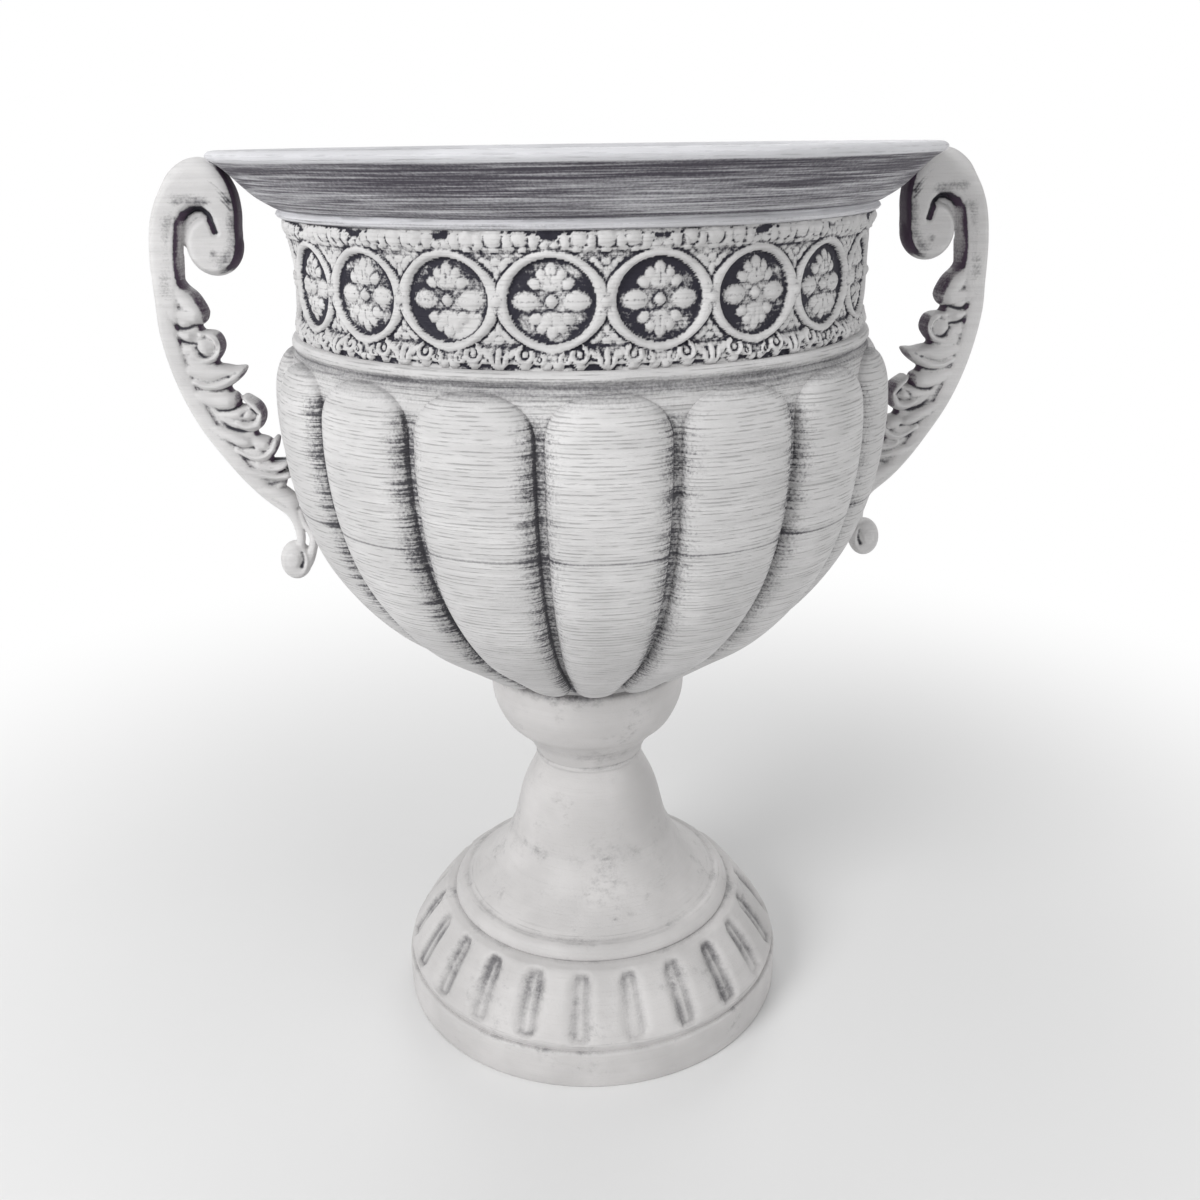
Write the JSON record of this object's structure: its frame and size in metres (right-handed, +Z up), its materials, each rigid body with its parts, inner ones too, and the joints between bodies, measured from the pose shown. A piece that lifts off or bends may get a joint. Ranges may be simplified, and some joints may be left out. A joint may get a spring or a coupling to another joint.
{
  "type": "urn",
  "caption": "Open urn with a flared rim, medallion frieze, lobed bowl, scrolled side handles and a bell stem on a domed, fluted foot.",
  "frame": {"origin": "centre of the base ring on the surface that the urn stands on", "axes": "+Z up along the axis of the urn, handles on X, a lobe of the bowl faces -Y"},
  "size_m": [0.2632, 0.22, 0.3009],
  "materials": {
    "rim_plaster": "matte off-white with a grey antique wash brushed round it",
    "frieze_plaster": "matte off-white with a near-black wash in the recesses",
    "bowl_plaster": "matte off-white with fine level lines and a dark wash in the grooves",
    "stem_plaster": "smooth matte off-white with faint grey smudges",
    "handle_plaster": "matte off-white with a dark wash between the leaves",
    "steel": "plain zinc-plated fasteners"
  },
  "bodies": {
    "root": {"rim": "rim_plaster", "frieze_band": "frieze_plaster", "bowl_upper": "bowl_plaster", "bowl_lower": "bowl_plaster", "knop": "stem_plaster", "stem": "stem_plaster", "flute_ring": "stem_plaster", "base_ring": "stem_plaster", "foot_plate": "steel", "tie_rod": "steel", "bowl_washer": "steel", "bowl_nut": "steel", "foot_washer": "steel", "foot_nut": "steel", "handle_right": "handle_plaster", "handle_screw_right": "steel", "screw_washer_right": "steel", "dowel_right": "steel", "handle_left": "handle_plaster", "handle_screw_left": "steel", "screw_washer_left": "steel", "dowel_left": "steel"}
  },
  "joints": []
}
